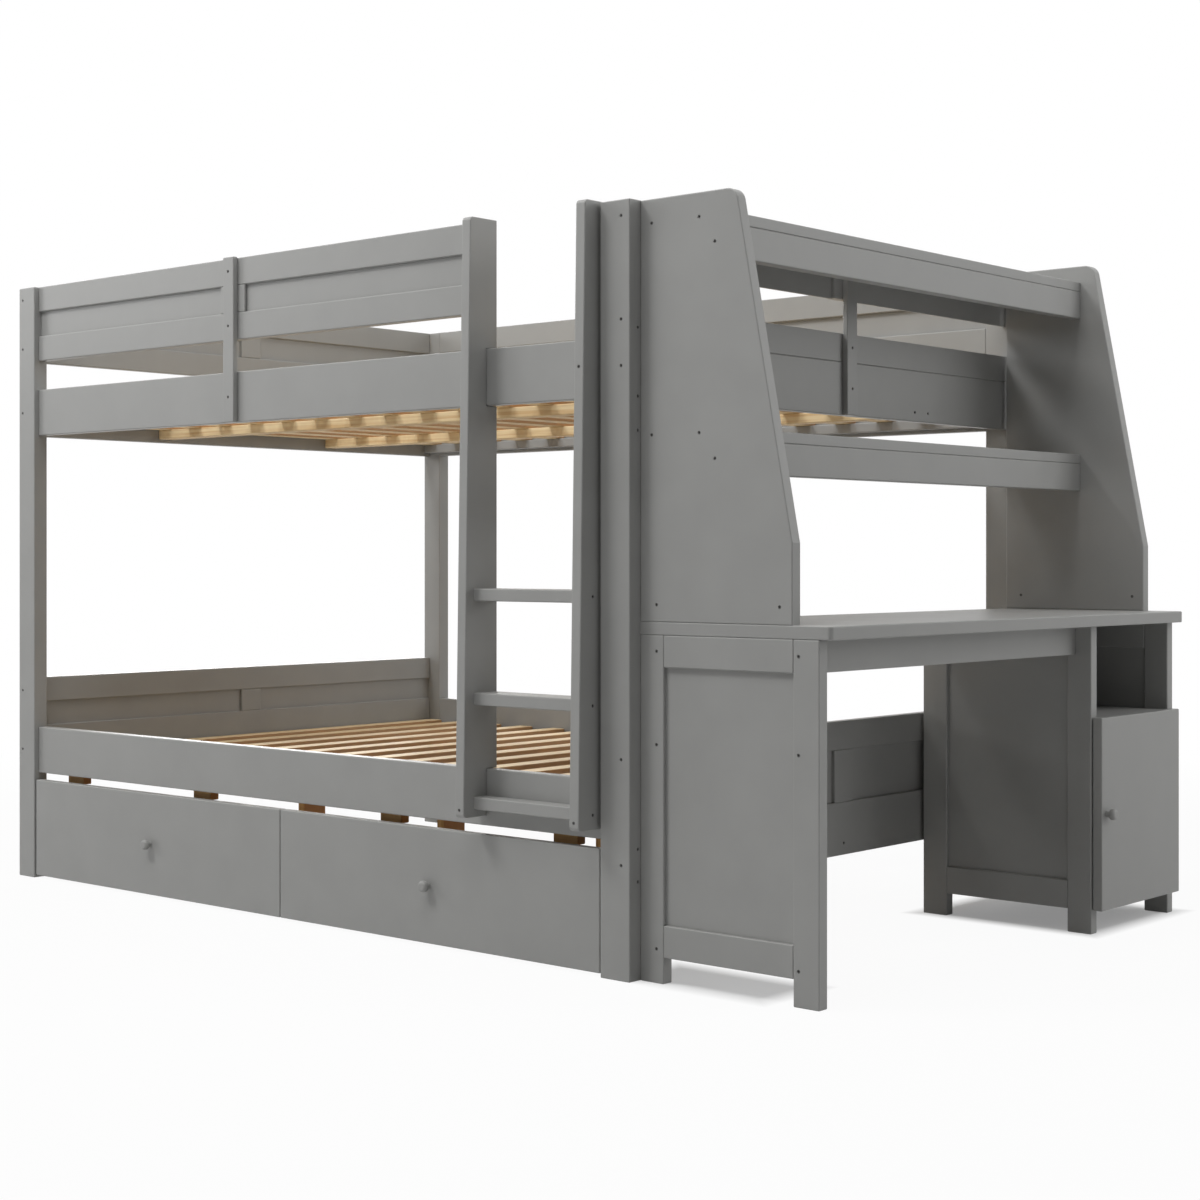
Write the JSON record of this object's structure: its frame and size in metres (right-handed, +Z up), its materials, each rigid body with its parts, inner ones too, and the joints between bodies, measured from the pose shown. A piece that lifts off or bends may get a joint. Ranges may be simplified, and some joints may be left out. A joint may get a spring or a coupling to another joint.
{
  "type": "bunk bed with desk",
  "caption": "Bunk bed for full-size mattresses with slatted decks, guard rails, ladder, rolling drawers and an end desk with shelves and a door cabinet.",
  "frame": {"origin": "on the floor, at the middle of the whole object's footprint", "axes": "+Z up, the ladder and drawer side faces -Y, the desk stands at the +X end"},
  "size_m": [2.496, 1.5158, 1.492],
  "materials": {
    "grey_paint": "satin warm grey paint on wood",
    "natural_pine": "unpainted planed pine",
    "plywood": "plain thin plywood",
    "screw_steel": "dark socket screws",
    "hinge_steel": "plain steel",
    "wheel_plastic": "black moulded plastic"
  },
  "bodies": {
    "frame": {"back_guard_lower_rail": "grey_paint", "back_guard_panel": "grey_paint", "back_guard_top_rail": "grey_paint", "back_left_post": "grey_paint", "back_lower_rail": "grey_paint", "back_right_post": "grey_paint", "back_upper_rail": "grey_paint", "beam_legs": "natural_pine", "cabinet_back": "grey_paint", "cabinet_boards": "grey_paint", "desk_apron": "grey_paint", "desk_legs": "grey_paint", "desk_side_panels": "grey_paint", "desk_side_rails": "grey_paint", "desk_top": "grey_paint", "end_panels": "grey_paint", "end_stiles": "grey_paint", "end_top_rails": "grey_paint", "frame_screws": "screw_steel", "front_guard_lower_rail": "grey_paint", "front_guard_panel": "grey_paint", "front_guard_top_rail": "grey_paint", "front_left_post": "grey_paint", "front_lower_rail": "grey_paint", "front_right_post": "grey_paint", "front_upper_rail": "grey_paint", "guard_balusters": "grey_paint", "hinge_frame_leaves": "hinge_steel", "hinge_pins": "hinge_steel", "hutch_shelf_aprons": "grey_paint", "hutch_shelves": "grey_paint", "hutch_sides": "grey_paint", "ladder_steps": "grey_paint", "ladder_stiles": "grey_paint", "ledger_blocks": "natural_pine", "left_end_rails": "grey_paint", "left_guard_rails": "grey_paint", "lower_slats": "natural_pine", "right_end_rails": "grey_paint", "right_guard_rails": "grey_paint", "slat_beams": "natural_pine", "slat_ledgers": "grey_paint", "upper_slats": "natural_pine"},
    "left_drawer": {"left_drawer_front": "grey_paint", "left_drawer_box": "grey_paint", "left_drawer_bottom": "plywood", "left_drawer_knob": "grey_paint", "left_drawer_axles": "hinge_steel"},
    "left_drawer_front_wheels": {"left_drawer_front_wheels": "wheel_plastic"},
    "left_drawer_rear_wheels": {"left_drawer_rear_wheels": "wheel_plastic"},
    "right_drawer": {"right_drawer_front": "grey_paint", "right_drawer_box": "grey_paint", "right_drawer_bottom": "plywood", "right_drawer_knob": "grey_paint", "right_drawer_axles": "hinge_steel"},
    "right_drawer_front_wheels": {"right_drawer_front_wheels": "wheel_plastic"},
    "right_drawer_rear_wheels": {"right_drawer_rear_wheels": "wheel_plastic"},
    "door": {"cabinet_door": "grey_paint", "door_knob": "grey_paint", "hinge_door_leaves": "hinge_steel"}
  },
  "joints": [
    {"name": "left_drawer_slide", "type": "slide", "parent": "frame", "child": "left_drawer", "axis": [0, -1, 0], "range_m": [0, 0.42]},
    {"name": "left_front_wheel_spin", "type": "hinge", "parent": "left_drawer", "child": "left_drawer_front_wheels", "pos_m": [-0.70675, -0.611, 0.022], "axis": [1, 0, 0], "range_deg": [0, 1100]},
    {"name": "left_rear_wheel_spin", "type": "hinge", "parent": "left_drawer", "child": "left_drawer_rear_wheels", "pos_m": [-0.70675, -0.296, 0.022], "axis": [1, 0, 0], "range_deg": [0, 1100]},
    {"name": "right_drawer_slide", "type": "slide", "parent": "frame", "child": "right_drawer", "axis": [0, -1, 0], "range_m": [0, 0.42]},
    {"name": "right_front_wheel_spin", "type": "hinge", "parent": "right_drawer", "child": "right_drawer_front_wheels", "pos_m": [0.23775, -0.611, 0.022], "axis": [1, 0, 0], "range_deg": [0, 1100]},
    {"name": "right_rear_wheel_spin", "type": "hinge", "parent": "right_drawer", "child": "right_drawer_rear_wheels", "pos_m": [0.23775, -0.296, 0.022], "axis": [1, 0, 0], "range_deg": [0, 1100]},
    {"name": "door_hinge", "type": "hinge", "parent": "frame", "child": "door", "pos_m": [1.20535, 0.7035, 0.2575], "axis": [0, 0, 1], "range_deg": [0, 110]}
  ],
  "couplings": [
    {"joint": "left_front_wheel_spin", "follows": "left_drawer_slide", "rad_per_m": 45.455},
    {"joint": "left_rear_wheel_spin", "follows": "left_drawer_slide", "rad_per_m": 45.455},
    {"joint": "right_front_wheel_spin", "follows": "right_drawer_slide", "rad_per_m": 45.455},
    {"joint": "right_rear_wheel_spin", "follows": "right_drawer_slide", "rad_per_m": 45.455}
  ]
}
